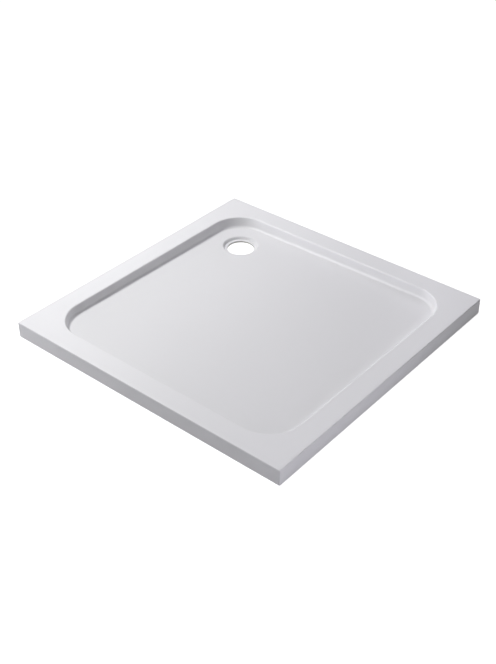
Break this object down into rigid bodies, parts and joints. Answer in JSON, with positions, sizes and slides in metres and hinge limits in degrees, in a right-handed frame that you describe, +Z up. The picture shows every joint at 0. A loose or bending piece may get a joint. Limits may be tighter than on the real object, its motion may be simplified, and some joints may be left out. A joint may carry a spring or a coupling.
{
  "type": "shower tray",
  "caption": "Square low shower tray: formed acrylic sheet with flat rim, drafted recess, falling floor and corner waste hole, on a laminated board, battens and bearers.",
  "frame": {"origin": "on the ground under the middle of the tray", "axes": "+Z up; the left wall side is -X and the back wall side is +Y, with the waste hole in the corner between them"},
  "size_m": [1, 1, 0.052],
  "materials": {
    "white_acrylic": "gloss",
    "laminate": "rough cured resin with glass strands",
    "panel_board": "bare particle board",
    "softwood": "sawn"
  },
  "bodies": {
    "root": {"acrylic_shell": "white_acrylic", "glassfibre_backing": "laminate", "floor_board": "panel_board", "board_overlay": "laminate", "bearer_1": "softwood", "bearer_2": "softwood", "bearer_3": "softwood", "bearer_4": "softwood", "edge_batten_front": "softwood", "edge_batten_back": "softwood", "edge_batten_left": "softwood", "edge_batten_right": "softwood", "corner_block_front_left": "softwood", "corner_block_front_right": "softwood", "corner_block_back_left": "softwood", "corner_block_back_right": "softwood"}
  },
  "joints": []
}
